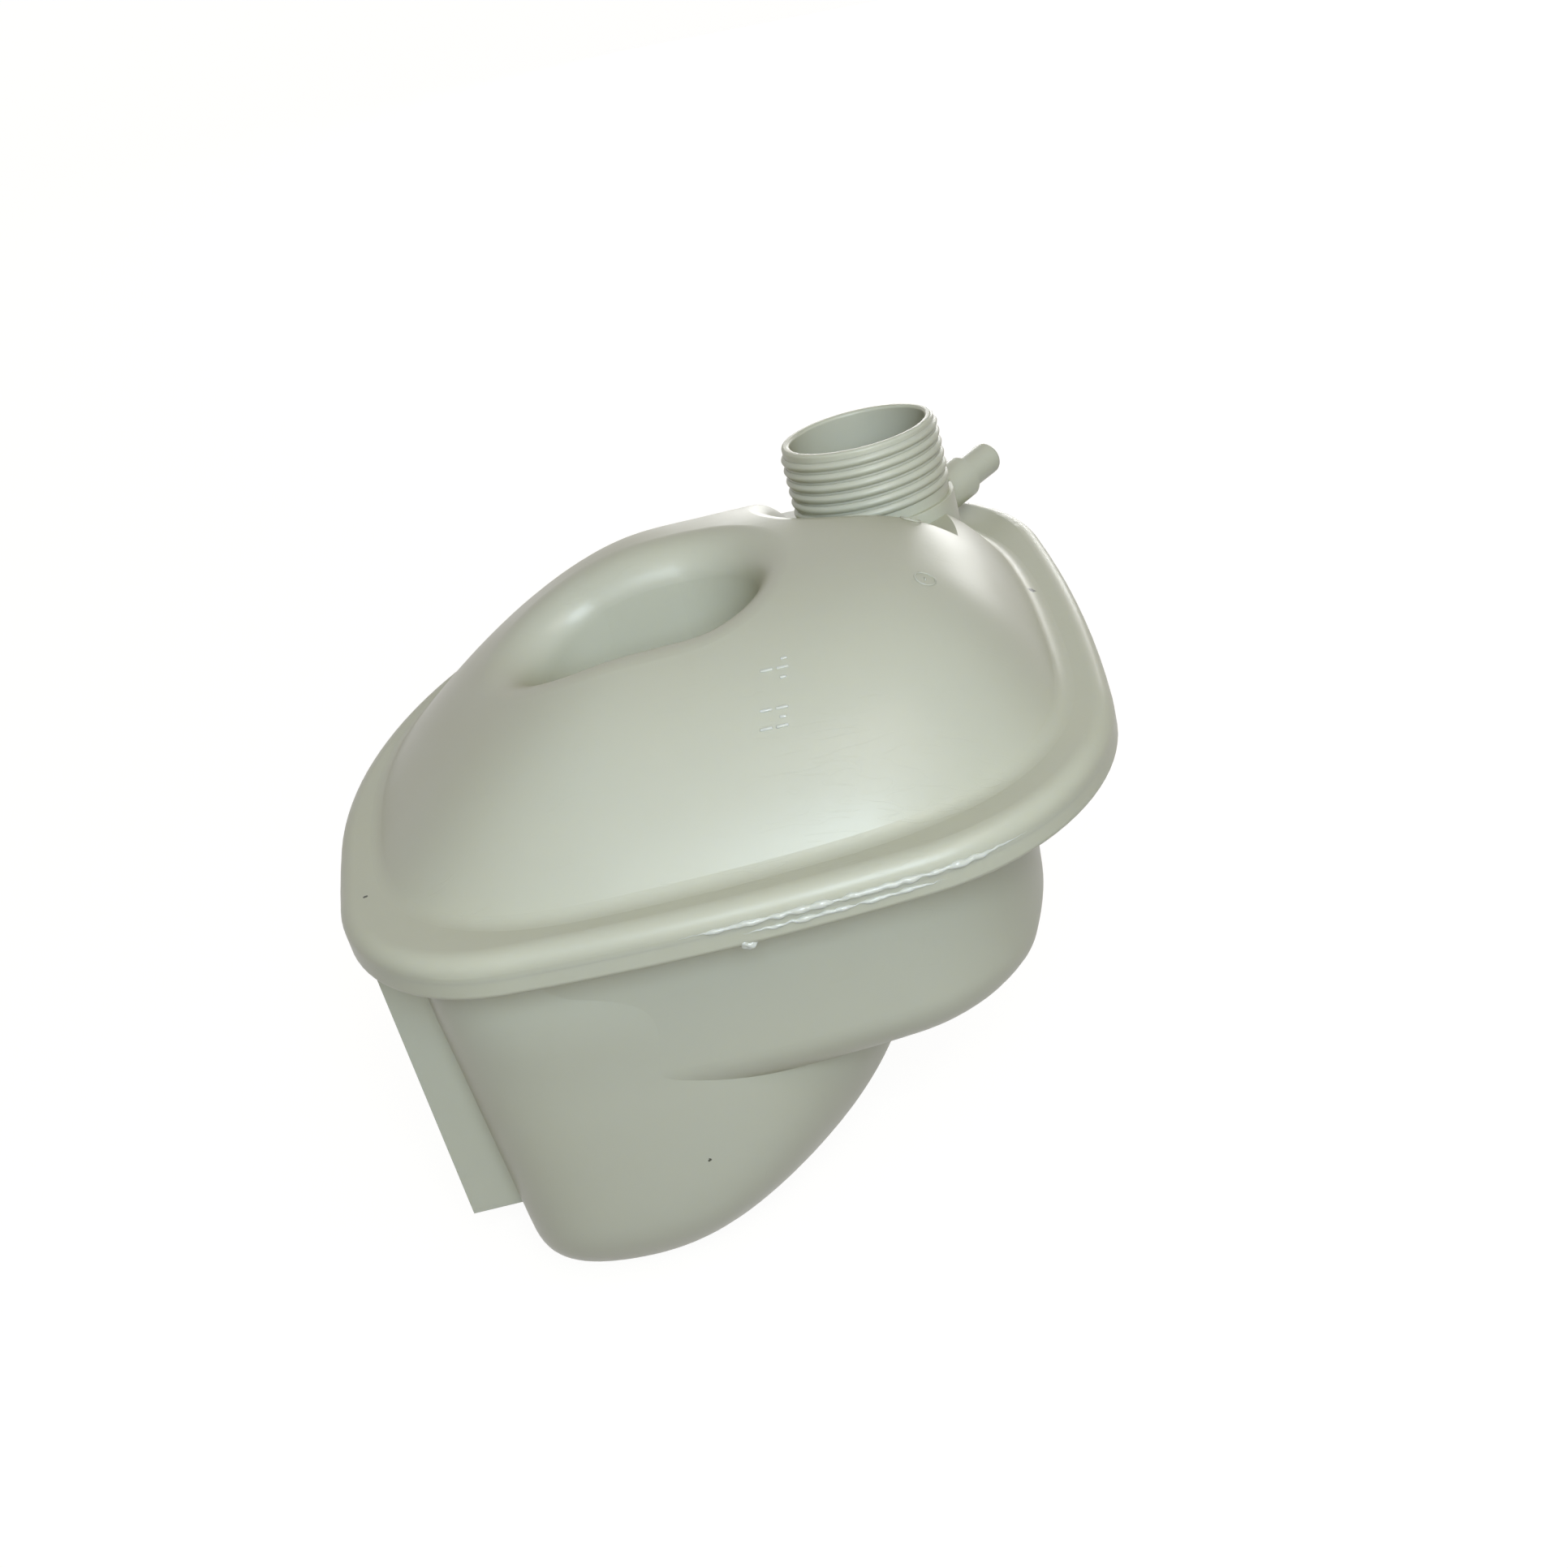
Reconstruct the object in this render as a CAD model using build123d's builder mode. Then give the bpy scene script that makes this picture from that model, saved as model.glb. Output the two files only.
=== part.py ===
"""Coolant expansion tank: two translucent moulded half shells, welded together at a flange.

Millimetres, +Z up. The origin is on the surface that the tank stands on, under the middle of the flange.
X runs along the front edge of the flange, and Y runs from the front to the rear.
"""

import os
from math import copysign, cos, hypot, pi, radians, sin, sqrt, tan

from build123d import *

# Weld flange: a cushion-shaped outline, with bowed sides and four corner radii
flange_width = 194.5
flange_depth = 192.0
flange_bow = 8.0
corner_front_left = 45.0
corner_front_right = 58.0
corner_rear_right = 50.0
corner_rear_left = 115.0
brim = 11.0
lower_flange_thickness = 5.0
upper_flange_thickness = 6.0
flange_top_round = 4.5
flange_bottom_round = 1.5

# Both shells
wall = 3.0

# Lower shell: a shallow tub with a deep bag under its left half
weld_height = 116.5
tub_floor_height = 56.5
draft = 2.5
tub_brim = 12.0
tub_right_brim = 22.0
tub_corner_front_left = 46.0
tub_slope_run = 17.0
tub_slope_rise = 19.0
tub_bottom_round = 16.0

# Bag: for each side the way it faces, the reach from the bag's middle at the weld, the lean of its wall,
# and its turn into the floor
bag_x = -40.0
bag_y = -20.0
bag_right_reach = 98.4
bag_right_lean = 17.8
bag_right_turn = 54.2
bag_rear_reach = 77.0
bag_rear_lean = 3.0
bag_rear_turn = 26.0
bag_back_facing = 145.0
bag_back_reach = 49.0
bag_back_turn = 20.0
bag_left_facing = 183.0
bag_left_reach = 45.5
bag_left_turn = 13.0
bag_corner_facing = 225.0
bag_corner_reach = 63.4
bag_corner_turn = 18.0
bag_front_facing = 265.0
bag_front_reach = 63.2
bag_front_turn = 24.6
bag_bend_facing = 293.0
bag_bend_reach = 72.5
bag_bend_lean = 3.0
bag_bend_turn = 38.6
bag_slope_facing = 320.0
bag_slope_reach = 81.4
bag_slope_lean = 7.2
bag_slope_turn = 56.4
bag_crispness = 11.0
bag_heights = (0, 0.7, 2.5, 6, 11, 18, 28, 42, 58, 75, 92)

# Bracket sleeve on the bag's left wall, open at the bottom
sleeve_front = -51.0
sleeve_width = 50.0
sleeve_face = 93.0
sleeve_bottom = 18.5
sleeve_slot_width = 42.0
sleeve_slot_thickness = 4.5
sleeve_slot_top = 91.5

# Outlet spigot on the bag's rear wall
outlet_x = -30.0
outlet_height = 36.0
outlet_diameter = 18.0
outlet_bore = 13.0
outlet_end = 84.0
outlet_collar = 22.0
outlet_collar_end = 54.0

# Upper shell: a dome that is fullest on its right side, highest over the pocket
dome_rise = 38.0
dome_peak_x = -7.5
dome_peak_y = -5.5
dome_fullness_left = 1.8
dome_fullness_right = 5.0
dome_fullness_front = 2.8
dome_fullness_rear = 2.5
dome_squareness = 3.2
dome_squareness_rear_left = 1.8
dome_toe_round = 5.0

# Blind pocket in the dome
pocket_x = -10.5
pocket_y = -7.5
pocket_length = 66.0
pocket_width = 46.0
pocket_floor_height = 125.5
pocket_draft = 9.0
pocket_floor_round = 10.0
pocket_rim_round = 10.0

# Filler neck, leaning back, on a flat deck cut into the dome
neck_x = 53.2
neck_y = 43.4
neck_base_height = 139.9
neck_lean = 8.0
neck_height = 24.6
neck_diameter = 40.8
neck_bore = 36.4
neck_rim_round = 0.8
neck_foot_diameter = 43.0
neck_foot_height = 3.5
neck_foot_depth = 12.0
deck_front = 29.0
deck_left = 23.5
deck_corner = 16.0
deck_flare = 18.0
deck_lip_round = 6.0

# Vent nipple on the dome's flank, pointing away from the neck
nipple_turn = 45.0
nipple_height = 133.0
nipple_diameter = 9.0
nipple_bore = 5.0
nipple_reach = 50.0
nipple_collar = 12.0
nipple_collar_reach = 37.0
nipple_tip_round = 1.5

# Tie ribs, joined under the pocket where the halves are welded
rib_thickness = 2.5
rib_length = 40.0
rib_width = 22.0

flange_underside = weld_height - lower_flange_thickness
flange_top = weld_height + upper_flange_thickness
wall_x = flange_width / 2 - brim
wall_y = flange_depth / 2 - brim
neck_plane = Plane(
    (neck_x, neck_y, neck_base_height), (1, 0, 0), (0, sin(radians(neck_lean)), cos(radians(neck_lean)))
)
outlet_plane = Plane((outlet_x, 0, outlet_height), (1, 0, 0), (0, 1, 0))
nipple_plane = Plane(
    (neck_x, neck_y, nipple_height), (0, 0, 1), (cos(radians(nipple_turn)), sin(radians(nipple_turn)), 0)
)


def cushion(half_x, half_y, radii):
    """A face with four bowed sides; radii go round from the front left corner, anticlockwise."""
    x, y = half_x - flange_bow, half_y - flange_bow
    corners = [(-x, -y), (x, -y), (x, y), (-x, y)]
    with BuildSketch() as outline:
        with BuildLine():
            for start, end in zip(corners, corners[1:] + corners[:1]):
                SagittaArc(start, end, -flange_bow)
        make_face()
        for corner, radius in zip(corners, radii):
            fillet(outline.vertices().sort_by_distance((*corner, 0))[0], radius)
    return outline.sketch


def flange_radii(inset):
    radii = (corner_front_left, corner_front_right, corner_rear_right, corner_rear_left)
    return [radius - inset for radius in radii]


def flange_face():
    return cushion(flange_width / 2, flange_depth / 2, flange_radii(0))


def tub_face(skin):
    """The tub's plan, whose right side stands further in from the flange than the others."""
    half_x = flange_width / 2 - (tub_brim + tub_right_brim) / 2
    half_y = flange_depth / 2 - tub_brim
    radii = [tub_corner_front_left - skin] + flange_radii(tub_brim + skin)[1:]
    with BuildSketch() as face:
        with Locations(((tub_brim - tub_right_brim) / 2, 0)):
            add(cushion(half_x - skin, half_y - skin, radii))
    return face.sketch


def bag_section(height, skin):
    """The bag's outline at a height over its floor: a polygon of eight sides with blended corners."""
    sides = (
        (0, bag_right_reach, bag_right_lean, bag_right_turn),
        (90, bag_rear_reach, bag_rear_lean, bag_rear_turn),
        (bag_back_facing, bag_back_reach, draft, bag_back_turn),
        (bag_left_facing, bag_left_reach, draft, bag_left_turn),
        (bag_corner_facing, bag_corner_reach, draft, bag_corner_turn),
        (bag_front_facing, bag_front_reach, draft, bag_front_turn),
        (bag_bend_facing, bag_bend_reach, bag_bend_lean, bag_bend_turn),
        (bag_slope_facing, bag_slope_reach, bag_slope_lean, bag_slope_turn),
    )
    points = []
    for i in range(48):
        angle = 2 * pi * i / 48
        nearness = 0
        for facing, reach, lean, turn in sides:
            below_turn = max(0, turn - skin - height)
            inset = turn - skin - sqrt((turn - skin) ** 2 - below_turn**2)
            distance = reach - skin - inset - tan(radians(lean)) * (weld_height - skin - height)
            share = max(0, cos(angle - radians(facing)))
            nearness += (share / distance) ** bag_crispness
        radius = nearness ** (-1 / bag_crispness)
        points.append((bag_x + radius * cos(angle), bag_y + radius * sin(angle)))
    with BuildSketch(Plane.XY.offset(height + skin)) as section:
        with BuildLine():
            Spline(*points, periodic=True)
        make_face()
    return section.sketch


def bowl_form(skin):
    """The tub and the bag under it: the outside, or the inside where skin is the wall's thickness."""
    right = flange_width / 2 - tub_right_brim
    slope_foot = tub_floor_height + skin * hypot(tub_slope_run, tub_slope_rise) / tub_slope_run
    with BuildPart() as tub:
        with BuildSketch(Plane.XY.offset(weld_height)):
            add(tub_face(skin))
        extrude(amount=-(weld_height - tub_floor_height - skin), taper=draft)
        # Slope between the right wall and the floor, cut from beyond its foot
        with BuildSketch(Plane.XZ.offset(-flange_depth / 2)):
            with BuildLine():
                Polyline(
                    (right - 2 * tub_slope_run, slope_foot - tub_slope_rise),
                    (right, slope_foot - tub_slope_rise),
                    (right, slope_foot + tub_slope_rise),
                    close=True,
                )
            make_face()
        extrude(amount=flange_depth, mode=Mode.SUBTRACT)
        fillet(tub.faces().sort_by(Axis.Z)[:2].edges(), tub_bottom_round - skin)
    with BuildPart() as bag:
        loft([bag_section(height, skin) for height in (*bag_heights, weld_height - skin)])
    with BuildPart() as form:
        add(tub.part)
        add(bag.part)
    return form.part


def pocket_form(skin):
    mouth_height = flange_top + dome_rise + 10
    with BuildPart() as form:
        with BuildSketch(Plane.XY.offset(mouth_height)):
            with Locations((pocket_x, pocket_y)):
                SlotOverall(pocket_length + 2 * skin, pocket_width + 2 * skin)
        extrude(amount=-(mouth_height - pocket_floor_height + skin), taper=pocket_draft)
        fillet(form.faces().sort_by(Axis.Z)[0].edges(), pocket_floor_round + skin)
    return form.part


def deck_form(skin):
    with BuildPart() as form:
        with BuildSketch(neck_plane.offset(-skin)):
            with Locations((-deck_left - skin, -deck_front - skin)):
                RectangleRounded(
                    flange_width, flange_depth, deck_corner + skin, align=(Align.MIN, Align.MIN)
                )
        extrude(amount=2 * dome_rise, taper=-deck_flare)
    return form.part


def dome_section(level, skin):
    """The dome's outline at a share of its rise: a rounded square, fuller on some sides than on others."""
    points = []
    for i in range(32):
        angle = 2 * pi * (i + 0.5) / 32 + radians(126)
        x, y = cos(angle), sin(angle)
        reach_x = wall_x - skin - copysign(1, x) * dome_peak_x
        reach_y = wall_y - skin - copysign(1, y) * dome_peak_y
        power = 2 / (dome_squareness_rear_left if x < 0 < y else dome_squareness)
        fullness_x = dome_fullness_right if x > 0 else dome_fullness_left
        fullness_y = dome_fullness_rear if y > 0 else dome_fullness_front
        along_x = reach_x * abs(x) ** power * (1 - level) ** (1 / fullness_x)
        along_y = reach_y * abs(y) ** power * (1 - level) ** (1 / fullness_y)
        points.append((dome_peak_x + copysign(along_x, x), dome_peak_y + copysign(along_y, y)))
    with BuildSketch(Plane.XY.offset(flange_top + level * dome_rise - skin)) as section:
        with BuildLine():
            Spline(*points, periodic=True)
        make_face()
    return section.sketch


def dome_form(skin):
    """The dome with its pocket and deck: the outside, or the inside where skin is the wall's thickness."""
    floor_plane = neck_plane.offset(-skin)
    with BuildPart() as form:
        loft([dome_section(level, skin) for level in (0, 0.25, 0.5, 0.72, 0.88, 0.965, 0.993)])
        crown = form.faces().filter_by(GeomType.BSPLINE)[0]
        extrude(form.faces().sort_by(Axis.Z)[0], amount=upper_flange_thickness - skin)
        add(pocket_form(skin), mode=Mode.SUBTRACT)
        rim = form.edges(Select.LAST).filter_by(lambda edge: crown.distance_to(edge @ 0.5) < 0.001)
        fillet(rim, pocket_rim_round - skin)
        add(deck_form(skin), mode=Mode.SUBTRACT)
        lip = form.edges(Select.LAST).filter_by(
            lambda edge: crown.distance_to(edge @ 0.5) < 0.001
            and floor_plane.to_local_coords(edge @ 0.5).Z > 0.01
        )
        fillet(lip, deck_lip_round - 0.7 * skin)
    return form.part


os.makedirs("parts", exist_ok=True)

with BuildPart() as lower_shell:
    with BuildSketch(Plane.XY.offset(flange_underside)):
        add(flange_face())
    extrude(amount=lower_flange_thickness)
    fillet(lower_shell.faces().sort_by(Axis.Z)[0].edges(), flange_bottom_round)
    add(bowl_form(0))
    # Sleeve block
    with BuildSketch(Plane.XY.offset(sleeve_bottom)):
        with Locations((-sleeve_face, sleeve_front)):
            Rectangle(sleeve_face - wall_x / 2, sleeve_width, align=(Align.MIN, Align.MIN))
    extrude(amount=flange_underside - sleeve_bottom)
    # Outlet spigot and its collar
    with BuildSketch(outlet_plane):
        Circle(outlet_diameter / 2)
    extrude(amount=outlet_end)
    with BuildSketch(outlet_plane):
        Circle(outlet_collar / 2)
    extrude(amount=outlet_collar_end)
    # Hollow inside
    add(bowl_form(wall), mode=Mode.SUBTRACT)
    # Sleeve slot
    with BuildSketch(Plane.XY.offset(sleeve_bottom)):
        with Locations((-sleeve_face + wall, sleeve_front + sleeve_width / 2)):
            Rectangle(sleeve_slot_thickness, sleeve_slot_width, align=(Align.MIN, Align.CENTER))
    extrude(amount=sleeve_slot_top - sleeve_bottom, mode=Mode.SUBTRACT)
    # Outlet bore
    with BuildSketch(outlet_plane):
        Circle(outlet_bore / 2)
    extrude(amount=outlet_end, mode=Mode.SUBTRACT)
    # Tie ribs
    with BuildSketch(Plane.XY.offset(wall / 2)):
        with Locations((pocket_x, pocket_y)):
            Rectangle(rib_length, rib_thickness)
            Rectangle(rib_thickness, rib_width)
    extrude(amount=weld_height - wall / 2)

lower_shell.part.label = "lower_shell"
export_step(lower_shell.part, "parts/lower_shell.step")

with BuildPart() as upper_shell:
    with BuildSketch(Plane.XY.offset(weld_height)):
        add(flange_face())
    extrude(amount=upper_flange_thickness)
    fillet(upper_shell.faces().sort_by(Axis.Z)[-1].edges(), flange_top_round)
    add(dome_form(0))
    toe = upper_shell.edges(Select.LAST).filter_by(lambda edge: abs((edge @ 0.5).Z - flange_top) < 0.001)
    fillet(toe, dome_toe_round)
    # Neck on its foot, and vent nipple with a round tip
    with BuildSketch(neck_plane.offset(-neck_foot_depth)):
        Circle(neck_foot_diameter / 2)
    extrude(amount=neck_foot_depth + neck_foot_height)
    with BuildSketch(neck_plane.offset(-wall)):
        Circle(neck_diameter / 2)
    extrude(amount=neck_height + wall)
    with BuildSketch(nipple_plane):
        Circle(nipple_diameter / 2)
    extrude(amount=nipple_reach)
    tip = nipple_plane.offset(nipple_reach)
    fillet(upper_shell.edges().filter_by(GeomType.CIRCLE).sort_by_distance(tip.origin)[0], nipple_tip_round)
    with BuildSketch(nipple_plane):
        Circle(nipple_collar / 2)
    extrude(amount=nipple_collar_reach)
    # Hollow inside
    add(dome_form(wall), mode=Mode.SUBTRACT)
    with BuildSketch(neck_plane.offset(-neck_foot_depth)):
        Circle(neck_bore / 2)
    extrude(amount=neck_height + neck_foot_depth, mode=Mode.SUBTRACT)
    rim_plane = neck_plane.offset(neck_height)
    rim = upper_shell.edges().filter_by(lambda edge: abs(rim_plane.to_local_coords(edge @ 0.5).Z) < 0.001)
    fillet(rim.filter_by(GeomType.CIRCLE), neck_rim_round)
    with BuildSketch(nipple_plane):
        Circle(nipple_bore / 2)
    extrude(amount=nipple_reach, mode=Mode.SUBTRACT)
    # Tie ribs
    with BuildSketch(Plane.XY.offset(weld_height)):
        with Locations((pocket_x, pocket_y)):
            Rectangle(rib_length, rib_thickness)
            Rectangle(rib_thickness, rib_width)
    extrude(amount=pocket_floor_height - wall / 2 - weld_height)

upper_shell.part.label = "upper_shell"
export_step(upper_shell.part, "parts/upper_shell.step")
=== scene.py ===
"""Coolant expansion tank: the looks of a welded tank of milky polypropylene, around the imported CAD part.

Metres, in the CAD part's frame: +Z up, +X along the flange's front edge, +Y from the front to the rear.
Sizes and places are written in millimetres and turned to metres by MM.
"""

from math import pi, radians

import bmesh
import bpy
from mathutils import Matrix, Vector, noise
from mathutils.bvhtree import BVHTree


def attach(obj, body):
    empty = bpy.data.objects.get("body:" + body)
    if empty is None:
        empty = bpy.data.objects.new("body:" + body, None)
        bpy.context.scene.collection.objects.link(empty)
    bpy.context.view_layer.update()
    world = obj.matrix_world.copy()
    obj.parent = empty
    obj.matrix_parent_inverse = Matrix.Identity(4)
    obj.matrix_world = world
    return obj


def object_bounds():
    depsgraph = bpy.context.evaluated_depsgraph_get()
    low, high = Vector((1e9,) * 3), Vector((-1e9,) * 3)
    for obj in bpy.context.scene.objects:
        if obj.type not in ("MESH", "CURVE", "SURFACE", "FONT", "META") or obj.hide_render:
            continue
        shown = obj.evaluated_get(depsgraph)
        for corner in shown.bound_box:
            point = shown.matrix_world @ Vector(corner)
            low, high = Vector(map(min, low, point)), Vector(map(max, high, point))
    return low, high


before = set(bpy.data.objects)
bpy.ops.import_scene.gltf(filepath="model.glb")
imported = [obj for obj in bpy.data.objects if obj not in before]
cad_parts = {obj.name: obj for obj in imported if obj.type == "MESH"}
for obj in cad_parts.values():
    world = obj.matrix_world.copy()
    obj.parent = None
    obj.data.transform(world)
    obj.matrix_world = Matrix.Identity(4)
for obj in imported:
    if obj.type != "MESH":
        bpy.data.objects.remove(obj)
cad_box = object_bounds()

MM = 0.001

# How far outside the tank a ray that looks for its surface starts
RAY_START = 10 * MM

# The photograph's frame and the camera that took it
FRAME_PIXELS = 1932
FOCAL_PIXELS = 2700
SENSOR_MM = 36
CAMERA_PLACE = Vector((38.2, -491.0, 387.6)) * MM
CAMERA_YAW = 3.0
CAMERA_PITCH = 31.0
CAMERA_ROLL = 15.5

# Filler neck, as the CAD part has it
NECK_BASE = Vector((53.2, 43.4, 139.9)) * MM
NECK_LEAN = 8.0
NECK_RADIUS = 20.4 * MM

# Thread on the neck: a rounded ridge, wound up the neck
THREAD_PITCH = 2.9 * MM
THREAD_DEPTH = 0.8 * MM
THREAD_START = 5.0 * MM
THREAD_TURNS = 6
THREAD_STEPS_PER_TURN = 72
THREAD_SUNK = 0.2 * MM
THREAD_HALF_SHARE = 0.46

# Weld flash: plastic that the welding pressed out between the two flanges, left rough along the front
WELD_HEIGHT = 116.5 * MM
FLASH_STEP = 0.8 * MM
FLASH_STRIPS = {
    "weld_flash_upper": {"start": -14.0, "end": 66.0, "above_weld": 1.2, "radius": 0.8, "seed": 3.0},
    "weld_flash_lower": {"start": 0.0, "end": 46.0, "above_weld": -1.3, "radius": 0.6, "seed": 11.0},
}
FLASH_LUMP_LENGTH = 4.0 * MM
FLASH_WANDER = 0.5 * MM
FLASH_EVEN = 0.9
FLASH_UNEVEN = 1.1
FLASH_LEAST = 0.05 * MM
# One over the share of a string in which it thickens from its end
FLASH_TAPER = 6
DRIP_PLACE = Vector((0.8, -95.2, 112.0)) * MM
DRIP_SIZE = (4.2, 2.0, 3.0)
DRIP_UNEVEN = 0.35
DRIP_LUMP_LENGTH = 1.1 * MM

# Level marks: plain raised strokes in a slanting column on the dome's front
MARK_FOOT = (20.8, -46.6)
MARK_SLANT = 0.23
MARK_LINES = (-50.0, -59.1, -62.8)
MARK_DASHES = (-47.8, -52.4, -61.0)
MARK_LINE_LENGTH = 2.9
MARK_LINE_GAP = 0.8
MARK_DASH_LENGTH = 1.6
MARK_WIDTH = 0.7
MARK_RELIEF = 0.35
MARK_EDGE_ROUND = 0.2 * MM

# Ejector marks: faint rings that the mould's pins left on the dome
EJECTOR_PLACES = ((60.3, 9.6), (59.0, -25.0))
EJECTOR_RADIUS = 2.6 * MM
EJECTOR_RIDGE = 0.22 * MM
EJECTOR_NIB = 0.5 * MM
EJECTOR_NIB_SHAPE = (0.6, 1.6, 0.7)

# The patch on the dome's front that is rubbed and scratched
RUBBED_PLACE = Vector((36.0, -80.0, 125.0)) * MM
RUBBED_REACH = 45.0 * MM
SCRATCH_TURNS = (12, -28, 55)
SCRATCH_STRETCH = (66.0, 330.0, 120.0)
SCRATCH_WIDTH = 0.02
# The noise level that a scratch has to pass, in the middle of the patch and past its edge
SCRATCHED_MOST = 0.52
SCRATCHED_LEAST = 0.68

# Specks of dirt: place, and how far each reaches
SPECKS = (
    ((51.1, 62.7, 154.3), 0.55),
    ((86.8, 12.8, 123.1), 0.9),
    ((-86.9, -54.3, 122.5), 0.5),
    ((-25.2, -79.8, 41.5), 0.5),
    ((12.0, -88.0, 121.0), 0.4),
    ((-40.0, -83.0, 70.0), 0.35),
)

# Painted shade: how far the plastic is painted darker and warmer where it is seen edge-on
EDGE_PAINTED_SHADE = 0.6

# Studio: the sky's light on the tank, the floor, and the lamps with their places and sizes in metres
SKY_STRENGTH = 0.18
FLOOR_LIFT = 0.92
FLOOR_REACH = 6.0
FLOOR_DROP = 0.2 * MM
LAMPS = {
    "front_light": {
        "place": (0.15, -1.0, 0.8), "width": 0.5, "height": 0.5, "power": 9.7, "colour": "#E4F3FF",
    },
    "high_light": {
        "place": (0.4, -0.6, 1.2), "width": 0.6, "height": 0.6, "power": 3.2, "colour": "#FFF6EC",
    },
    "low_fill": {
        "place": (0.1, -1.3, 0.3), "width": 0.6, "height": 0.6, "power": 1.6, "colour": "#FFF0DC",
    },
    "rear_light": {
        "place": (0.35, 1.2, 0.12), "width": 0.8, "height": 0.3, "power": 4.0, "colour": "#FFFFFF",
    },
}


def linear(hex_colour):
    """An sRGB hex value as a linear colour with full alpha."""
    channels = [int(hex_colour[i:i + 2], 16) / 255 for i in (1, 3, 5)]
    return [c / 12.92 if c <= 0.04045 else ((c + 0.055) / 1.055) ** 2.4 for c in channels] + [1.0]


def add_node(tree, kind, settings=(), **inputs):
    """Adds a node. Settings are its properties.

    Inputs are values, or sockets to link, by the socket's name, or by its number after an underscore.
    """
    node = tree.nodes.new(kind)
    for name, value in dict(settings).items():
        setattr(node, name, value)
    for name, value in inputs.items():
        key = int(name[1:]) if name[0] == "_" else name.replace("_", " ")
        if isinstance(value, bpy.types.NodeSocket):
            tree.links.new(value, node.inputs[key])
        else:
            node.inputs[key].default_value = value
    return node


def new_material(name):
    material = bpy.data.materials.new(name)
    material.use_nodes = True
    material.node_tree.nodes.clear()
    return material, material.node_tree


def hairline_scratches(tree, place):
    """1 on a scratch: a thin line where a stretched noise passes its middle value, in the rubbed patch."""
    away = add_node(tree, "ShaderNodeVectorMath", {"operation": "DISTANCE"}, _0=place, _1=RUBBED_PLACE)
    rubbed = add_node(
        tree, "ShaderNodeMapRange", Value=away.outputs["Value"],
        From_Min=0.3 * RUBBED_REACH, From_Max=RUBBED_REACH, To_Min=SCRATCHED_MOST, To_Max=SCRATCHED_LEAST,
    )
    scratched = None
    for turn in SCRATCH_TURNS:
        # Lines some 15 mm long, 3 mm apart
        turned = add_node(
            tree, "ShaderNodeMapping", Vector=place, Rotation=(0, 0, radians(turn)), Scale=SCRATCH_STRETCH
        )
        streaks = add_node(tree, "ShaderNodeTexNoise", Vector=turned.outputs[0], Scale=1.0, Detail=1.0)
        on_line = add_node(
            tree, "ShaderNodeMath", {"operation": "COMPARE"},
            _0=streaks.outputs["Fac"], _1=0.5, _2=SCRATCH_WIDTH,
        )
        patches = add_node(tree, "ShaderNodeTexNoise", Vector=turned.outputs[0], Scale=0.45, Detail=1.0)
        in_patch = add_node(
            tree, "ShaderNodeMath", {"operation": "GREATER_THAN"},
            _0=patches.outputs["Fac"], _1=rubbed.outputs[0],
        )
        lines = add_node(
            tree, "ShaderNodeMath", {"operation": "MULTIPLY"}, _0=on_line.outputs[0], _1=in_patch.outputs[0]
        ).outputs[0]
        if scratched is None:
            scratched = lines
        else:
            scratched = add_node(
                tree, "ShaderNodeMath", {"operation": "MAXIMUM"}, _0=scratched, _1=lines
            ).outputs[0]
    return scratched


def dirt_specks(tree, place):
    """1 inside a speck of dirt, with ragged edges."""
    dirty = None
    ragged = add_node(tree, "ShaderNodeTexNoise", Vector=place, Scale=1800.0, Detail=1.0)
    for centre, reach in SPECKS:
        away = add_node(
            tree, "ShaderNodeVectorMath", {"operation": "DISTANCE"}, _0=place, _1=Vector(centre) * MM
        )
        limit = add_node(
            tree, "ShaderNodeMath", {"operation": "MULTIPLY"}, _0=ragged.outputs["Fac"], _1=2 * reach * MM
        )
        inside = add_node(
            tree, "ShaderNodeMath", {"operation": "LESS_THAN"}, _0=away.outputs["Value"], _1=limit.outputs[0]
        ).outputs[0]
        if dirty is None:
            dirty = inside
        else:
            dirty = add_node(tree, "ShaderNodeMath", {"operation": "MAXIMUM"}, _0=dirty, _1=inside).outputs[0]
    return dirty


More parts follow.
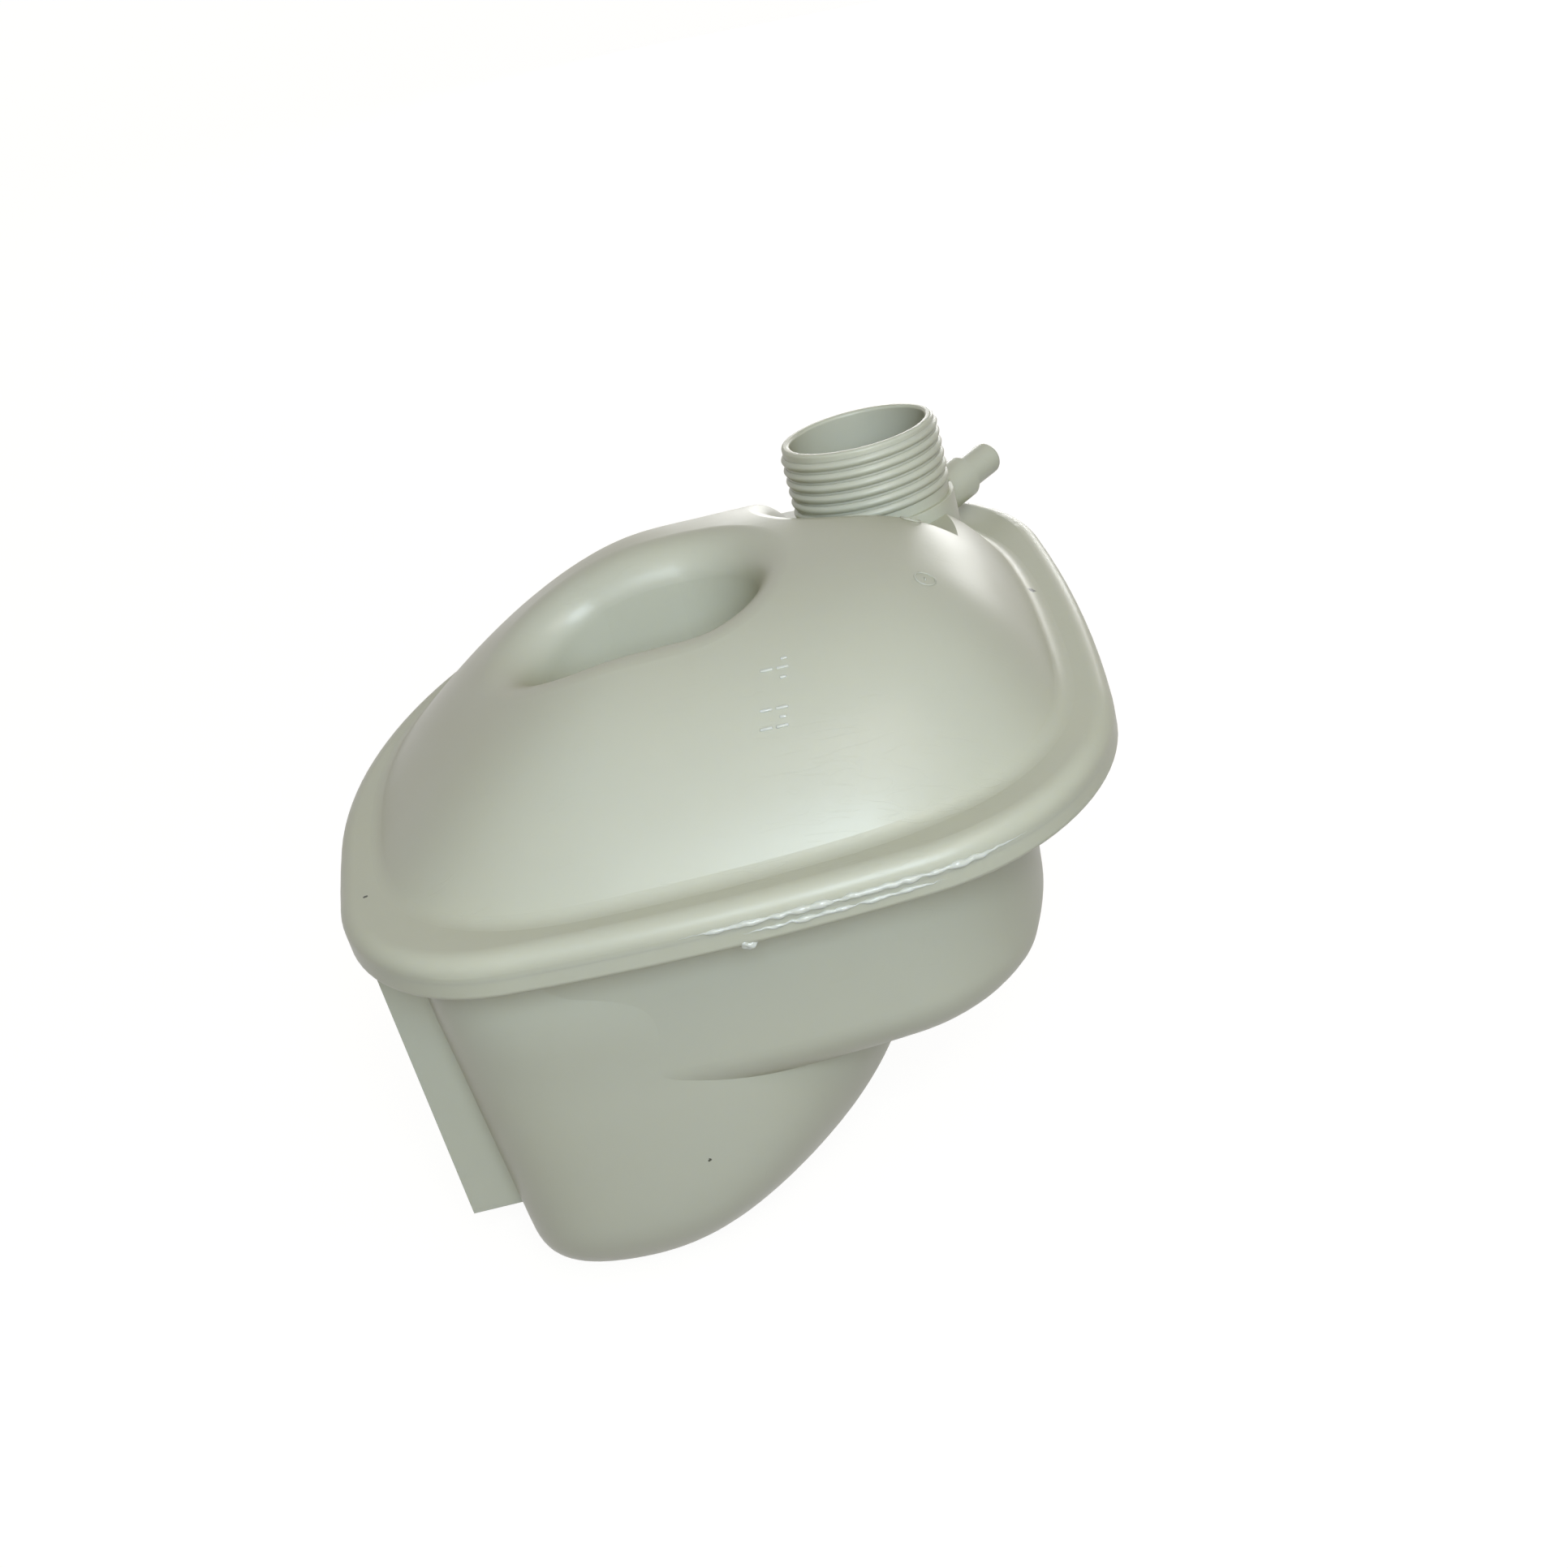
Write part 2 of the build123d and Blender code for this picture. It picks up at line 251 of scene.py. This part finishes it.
def milky_polypropylene():
    """Polypropylene, injection moulded and unpigmented.

    It is milky and lets light wander through its wall, so shadows are soft and warm. Its skin is satin, with
    a faint orange peel, hairline scratches from handling, and a few specks of dirt.
    """
    material, tree = new_material("milky_polypropylene")
    place = add_node(tree, "ShaderNodeTexCoord").outputs["Object"]

    # Clouding of the plastic, in patches some 40 mm across
    clouds = add_node(tree, "ShaderNodeTexNoise", Vector=place, Scale=25.0, Detail=3.0, Roughness=0.5)
    cloud_colour = add_node(
        tree, "ShaderNodeMix", {"data_type": "RGBA"}, _0=clouds.outputs["Fac"],
        _6=linear("#C6C9BC"), _7=linear("#CBCCBB"),
    )

    # The weld flange is two walls thick, and looks a little warmer there
    height = add_node(tree, "ShaderNodeSeparateXYZ", Vector=place).outputs["Z"]
    off_weld = add_node(tree, "ShaderNodeMath", {"operation": "SUBTRACT"}, _0=height, _1=WELD_HEIGHT)
    distance = add_node(tree, "ShaderNodeMath", {"operation": "ABSOLUTE"}, _0=off_weld.outputs[0])
    thick = add_node(
        tree, "ShaderNodeMapRange", {"interpolation_type": "SMOOTHSTEP"}, Value=distance.outputs[0],
        From_Min=3 * MM, From_Max=12 * MM, To_Min=0.4, To_Max=0.0,
    )
    body_colour = add_node(
        tree, "ShaderNodeMix", {"data_type": "RGBA"}, _0=thick.outputs[0],
        _6=cloud_colour.outputs[2], _7=linear("#C7C8B5"),
    )
    # Painted shade: seen edge-on, the plastic is painted darker and warmer
    edge_on = add_node(tree, "ShaderNodeLayerWeight", Blend=0.3)
    depth = add_node(
        tree, "ShaderNodeMath", {"operation": "MULTIPLY"}, _0=edge_on.outputs["Facing"], _1=EDGE_PAINTED_SHADE
    )
    edge_shaded_colour = add_node(
        tree, "ShaderNodeMix", {"data_type": "RGBA"}, _0=depth.outputs[0],
        _6=body_colour.outputs[2], _7=linear("#A39F7C"),
    )
    colour = add_node(
        tree, "ShaderNodeMix", {"data_type": "RGBA"}, _0=dirt_specks(tree, place),
        _6=edge_shaded_colour.outputs[2], _7=linear("#4A4A3E"),
    )

    # Orange peel, about 2 mm from hill to hill
    peel = add_node(tree, "ShaderNodeTexNoise", Vector=place, Scale=450.0, Detail=2.0)
    peel_bump = add_node(tree, "ShaderNodeBump", Height=peel.outputs["Fac"], Strength=0.05, Distance=0.4 * MM)
    scratch_bump = add_node(
        tree, "ShaderNodeBump", {"invert": True}, Height=hairline_scratches(tree, place), Strength=0.5,
        Distance=0.15 * MM, Normal=peel_bump.outputs[0],
    )
    gloss = add_node(
        tree, "ShaderNodeMapRange", Value=clouds.outputs["Fac"],
        From_Min=0.3, From_Max=0.7, To_Min=0.3, To_Max=0.4,
    )
    skin = add_node(
        tree, "ShaderNodeBsdfPrincipled", Base_Color=colour.outputs[2], Roughness=gloss.outputs[0], IOR=1.49,
        Subsurface_Weight=0.3, Subsurface_Radius=(1.0, 0.9, 0.6), Subsurface_Scale=2.5 * MM,
        Normal=scratch_bump.outputs[0],
    )
    add_node(tree, "ShaderNodeOutputMaterial", Surface=skin.outputs[0])
    return material


def molten_polypropylene_painted_highlight():
    """The same plastic where it was melted and set again: glossier, clearer and uneven, with a painted
    highlight in lighter, whiter ripples.
    """
    material, tree = new_material("molten_polypropylene_painted_highlight")
    place = add_node(tree, "ShaderNodeTexCoord").outputs["Object"]
    # Ripples of about 1.5 mm
    ripples = add_node(tree, "ShaderNodeTexNoise", Vector=place, Scale=650.0, Detail=3.0)
    # Painted highlight: the ripples are mixed towards a lighter, whiter colour that stands in for glints
    colour = add_node(
        tree, "ShaderNodeMix", {"data_type": "RGBA"}, _0=ripples.outputs["Fac"],
        _6=linear("#CDD1C6"), _7=linear("#E2E5DD"),
    )
    bump = add_node(tree, "ShaderNodeBump", Height=ripples.outputs["Fac"], Strength=0.5, Distance=0.5 * MM)
    skin = add_node(
        tree, "ShaderNodeBsdfPrincipled", Base_Color=colour.outputs[2], Roughness=0.14, IOR=1.49,
        Subsurface_Weight=0.3, Subsurface_Radius=(1.0, 0.9, 0.6), Subsurface_Scale=2 * MM,
        Normal=bump.outputs[0],
    )
    add_node(tree, "ShaderNodeOutputMaterial", Surface=skin.outputs[0])
    return material


def seen_directly(tree):
    """1 for rays that show a thing: to the camera, in a reflection, or through a clear piece."""
    rays = add_node(tree, "ShaderNodeLightPath")
    seen = rays.outputs["Is Camera Ray"]
    for kind in ("Is Glossy Ray", "Is Transmission Ray"):
        either = add_node(tree, "ShaderNodeMath", {"operation": "MAXIMUM"}, _0=seen, _1=rays.outputs[kind])
        seen = either.outputs[0]
    return seen


def white_floor():
    """A matt floor that throws little light back on the tank. Where it is seen, it is lifted to white."""
    material, tree = new_material("white_paper")
    lift = add_node(tree, "ShaderNodeMath", {"operation": "MULTIPLY"}, _0=seen_directly(tree), _1=FLOOR_LIFT)
    paper = add_node(
        tree, "ShaderNodeBsdfPrincipled", Base_Color=linear("#66635B"), Roughness=0.9,
        Emission_Color=linear("#FFFFFF"), Emission_Strength=lift.outputs[0],
    )
    add_node(tree, "ShaderNodeOutputMaterial", Surface=paper.outputs[0])
    return material


def finish_piece(name, mesh, material):
    """Makes a smooth piece of a mesh, at the origin, that rides with the tank."""
    mesh.name = name
    mesh.shade_smooth()
    mesh.materials.clear()
    mesh.materials.append(material)
    piece = bpy.data.objects.new(name, mesh)
    bpy.context.scene.collection.objects.link(piece)
    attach(piece, "root")
    return piece


def to_mesh(builder):
    mesh = bpy.data.meshes.new("piece")
    builder.to_mesh(mesh)
    builder.free()
    return mesh


def shell_tree(node):
    """A search tree over a CAD node's surface, to seat details on it."""
    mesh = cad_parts[node].data
    return BVHTree.FromPolygons([v.co for v in mesh.vertices], [p.vertices for p in mesh.polygons])


def neck_matrix():
    """From a frame with its Z along the neck's axis, at the neck's base, to the tank's frame."""
    return Matrix.Translation(NECK_BASE) @ Matrix.Rotation(-radians(NECK_LEAN), 4, "X")


def neck_thread(material):
    """A rounded ridge, swept up the neck, that runs out at both ends."""
    ridge = bmesh.new()
    inner = NECK_RADIUS - THREAD_SUNK
    half = THREAD_HALF_SHARE * THREAD_PITCH
    # The ridge's section, as shares of the thread's depth and of half its pitch
    section = ((0.35, -0.8), (0.85, -0.35), (1.0, 0.0), (0.8, 0.3), (0.35, 0.65))
    places = [(inner, -half)]
    places += [(NECK_RADIUS + depth * THREAD_DEPTH, along * half) for depth, along in section]
    places += [(inner, half)]
    corners = [ridge.verts.new((radius, 0, THREAD_START + along)) for radius, along in places]
    edges = [ridge.edges.new(pair) for pair in zip(corners, corners[1:] + corners[:1])]
    steps = THREAD_TURNS * THREAD_STEPS_PER_TURN
    swept = bmesh.ops.spin(
        ridge, geom=corners + edges, cent=(0, 0, 0), axis=(0, 0, 1),
        dvec=(0, 0, THREAD_PITCH * THREAD_TURNS / steps),
        angle=2 * pi * THREAD_TURNS, steps=steps, use_duplicate=False,
    )
    for end in (edges, [item for item in swept["geom_last"] if isinstance(item, bmesh.types.BMEdge)]):
        bmesh.ops.contextual_create(ridge, geom=end)
    # The ridge sinks into the neck over its first and last half turn
    top = THREAD_START + THREAD_PITCH * THREAD_TURNS
    for corner in ridge.verts:
        outward = Vector((corner.co.x, corner.co.y, 0))
        to_end = min(corner.co.z - THREAD_START, top - corner.co.z) + half
        share = max(0.0, min(1.0, to_end / (0.5 * THREAD_PITCH)))
        corner.co -= outward.normalized() * (outward.length - inner) * (1 - share)
    bmesh.ops.recalc_face_normals(ridge, faces=ridge.faces)
    bmesh.ops.transform(ridge, matrix=neck_matrix(), verts=ridge.verts)
    return finish_piece("neck_thread", to_mesh(ridge), material)


def weld_flash(name, start, end, above_weld, radius, seed, material):
    """A lumpy string of molten plastic along the front of the flange, thin at its ends."""
    surface = shell_tree("upper_shell" if above_weld > 0 else "lower_shell")
    height = WELD_HEIGHT + above_weld * MM
    steps = round((end - start) * MM / FLASH_STEP)
    route = []
    for step in range(steps + 1):
        x = start * MM + step * FLASH_STEP
        lump = noise.noise(Vector((x / FLASH_LUMP_LENGTH, seed, 0)))
        wander = noise.noise(Vector((2 * x / FLASH_LUMP_LENGTH, 0, seed)))
        front = Vector((x, cad_box[0][1] - RAY_START, height + FLASH_WANDER * wander))
        place = surface.ray_cast(front, Vector((0, 1, 0)))[0]
        taper = min(1.0, FLASH_TAPER * step / steps, FLASH_TAPER * (steps - step) / steps)
        route.append((place, radius * MM * taper * (FLASH_EVEN + FLASH_UNEVEN * lump)))
    curve = bpy.data.curves.new(name, "CURVE")
    curve.dimensions = "3D"
    curve.bevel_depth = 1.0
    curve.bevel_resolution = 3
    curve.use_fill_caps = True
    string = curve.splines.new("POLY")
    string.points.add(len(route) - 1)
    for point, (place, thickness) in zip(string.points, route):
        point.co = (*place, 1)
        point.radius = max(thickness, FLASH_LEAST)
    holder = bpy.data.objects.new(name, curve)
    mesh = bpy.data.meshes.new_from_object(holder)
    bpy.data.objects.remove(holder)
    return finish_piece(name, mesh, material)


def weld_drip(material):
    """A drop of plastic that hangs from the flange's lower edge."""
    drop = bmesh.new()
    bmesh.ops.create_icosphere(drop, subdivisions=4, radius=0.5 * MM)
    bmesh.ops.scale(drop, vec=DRIP_SIZE, verts=drop.verts)
    for corner in drop.verts:
        corner.co *= 1 + DRIP_UNEVEN * noise.noise(corner.co / DRIP_LUMP_LENGTH)
    bmesh.ops.translate(drop, vec=DRIP_PLACE, verts=drop.verts)
    return finish_piece("weld_drip", to_mesh(drop), material)


def on_dome(surface, x, y):
    """The frame on the dome over a plan point: Z out of the surface, X as near the tank's X as it can be."""
    above = Vector((x * MM, y * MM, cad_box[1][2] + RAY_START))
    place, out, _, _ = surface.ray_cast(above, Vector((0, 0, -1)))
    side = out.cross(Vector((1, 0, 0))).normalized()
    turn = Matrix((side.cross(out), side, out)).transposed().to_4x4()
    return Matrix.Translation(place) @ turn


def level_marks(surface, material):
    """Plain raised strokes: lines in two halves, and a short dash beside each."""
    marks = bmesh.new()

    def stroke(middle, y, length):
        x = middle + MARK_FOOT[0] + MARK_SLANT * (y - MARK_FOOT[1])
        bar = bmesh.ops.create_cube(marks, size=MM)["verts"]
        bmesh.ops.scale(marks, vec=(length, MARK_WIDTH, 2 * MARK_RELIEF), verts=bar)
        bmesh.ops.transform(marks, matrix=on_dome(surface, x, y), verts=bar)

    for y in MARK_LINES:
        for side in (-1, 1):
            stroke(side * (MARK_LINE_LENGTH + MARK_LINE_GAP) / 2, y, MARK_LINE_LENGTH)
    for y in MARK_DASHES:
        stroke(MARK_LINE_LENGTH - MARK_DASH_LENGTH / 2, y, MARK_DASH_LENGTH)
    bmesh.ops.bevel(
        marks, geom=marks.edges[:], offset=MARK_EDGE_ROUND, offset_type="OFFSET", affect="EDGES",
        segments=2, profile=0.5, material=-1,
    )
    return finish_piece("level_marks", to_mesh(marks), material)


def ejector_mark(place, all_marks):
    """Adds a faint ring, a round ridge that stands half out of the dome, with a nib in its middle."""
    mark = bmesh.new()
    ridge = bmesh.ops.create_circle(mark, segments=10, radius=EJECTOR_RIDGE)["verts"]
    bmesh.ops.rotate(mark, cent=(0, 0, 0), matrix=Matrix.Rotation(radians(90), 3, "X"), verts=ridge)
    bmesh.ops.translate(mark, vec=(EJECTOR_RADIUS, 0, 0), verts=ridge)
    bmesh.ops.spin(
        mark, geom=mark.verts[:] + mark.edges[:], cent=(0, 0, 0), axis=(0, 0, 1), angle=2 * pi, steps=48,
        use_merge=True,
    )
    nib = bmesh.ops.create_icosphere(mark, subdivisions=2, radius=EJECTOR_NIB)["verts"]
    bmesh.ops.scale(mark, vec=EJECTOR_NIB_SHAPE, verts=nib)
    bmesh.ops.recalc_face_normals(mark, faces=mark.faces)
    bmesh.ops.transform(mark, matrix=place, verts=mark.verts)
    mesh = to_mesh(mark)
    all_marks.from_mesh(mesh)
    bpy.data.meshes.remove(mesh)


def ejector_marks(surface, material):
    marks = bmesh.new()
    for x, y in EJECTOR_PLACES:
        ejector_mark(on_dome(surface, x, y), marks)
    return finish_piece("ejector_marks", to_mesh(marks), material)


def aim(thing, place, target):
    thing.location = place
    thing.rotation_mode = "QUATERNION"
    thing.rotation_quaternion = (target - place).to_track_quat("-Z", "Y")


def softbox(name, place, width, height, power, colour):
    """A rectangular studio lamp that points at the middle of the tank."""
    lamp = bpy.data.lights.new(name, "AREA")
    lamp.shape = "RECTANGLE"
    lamp.size = width
    lamp.size_y = height
    lamp.energy = power
    lamp.color = linear(colour)[:3]
    holder = bpy.data.objects.new(name, lamp)
    bpy.context.scene.collection.objects.link(holder)
    aim(holder, Vector(place), (cad_box[0] + cad_box[1]) / 2)
    return holder


def camera():
    """The photograph's camera: it looks down on the tank, and is rolled to one side."""
    data = bpy.data.cameras.new("camera")
    data.sensor_width = SENSOR_MM
    data.lens = SENSOR_MM * FOCAL_PIXELS / FRAME_PIXELS
    data.clip_start = 0.01
    data.clip_end = 50
    holder = bpy.data.objects.new("camera", data)
    bpy.context.scene.collection.objects.link(holder)
    holder.matrix_world = (
        Matrix.Translation(CAMERA_PLACE)
        @ Matrix.Rotation(radians(CAMERA_YAW), 4, "Z")
        @ Matrix.Rotation(radians(90 - CAMERA_PITCH), 4, "X")
        @ Matrix.Rotation(-radians(CAMERA_ROLL), 4, "Z")
    )
    bpy.context.scene.camera = holder


def floor():
    sheet = bmesh.new()
    bmesh.ops.create_grid(sheet, x_segments=1, y_segments=1, size=FLOOR_REACH)
    bmesh.ops.translate(sheet, vec=(0, 0, -FLOOR_DROP), verts=sheet.verts)
    mesh = to_mesh(sheet)
    mesh.materials.append(white_floor())
    ground = bpy.data.objects.new("floor", mesh)
    bpy.context.scene.collection.objects.link(ground)


def studio():
    world = bpy.data.worlds.new("studio")
    world.use_nodes = True
    tree = world.node_tree
    tree.nodes.clear()
    # A dim, warm sky lights the tank; where it is seen, it is as white as the floor
    dim = add_node(tree, "ShaderNodeBackground", Color=linear("#F4E8CE"), Strength=SKY_STRENGTH)
    white = add_node(tree, "ShaderNodeBackground", Color=linear("#FFFFFF"), Strength=1.0)
    sky = add_node(
        tree, "ShaderNodeMixShader", _0=seen_directly(tree), _1=dim.outputs[0], _2=white.outputs[0]
    )
    add_node(tree, "ShaderNodeOutputWorld", Surface=sky.outputs[0])
    bpy.context.scene.world = world
    for lamp, settings in LAMPS.items():
        softbox(lamp, **settings)
    bpy.context.scene.view_settings.view_transform = "Standard"


shell_plastic = milky_polypropylene()
flash_plastic = molten_polypropylene_painted_highlight()
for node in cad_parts.values():
    node.data.materials.clear()
    node.data.materials.append(shell_plastic)

neck_thread(shell_plastic)
for strip, sizes in FLASH_STRIPS.items():
    weld_flash(strip, **sizes, material=flash_plastic)
weld_drip(flash_plastic)
dome = shell_tree("upper_shell")
level_marks(dome, flash_plastic)
ejector_marks(dome, shell_plastic)
floor()
studio()
camera()
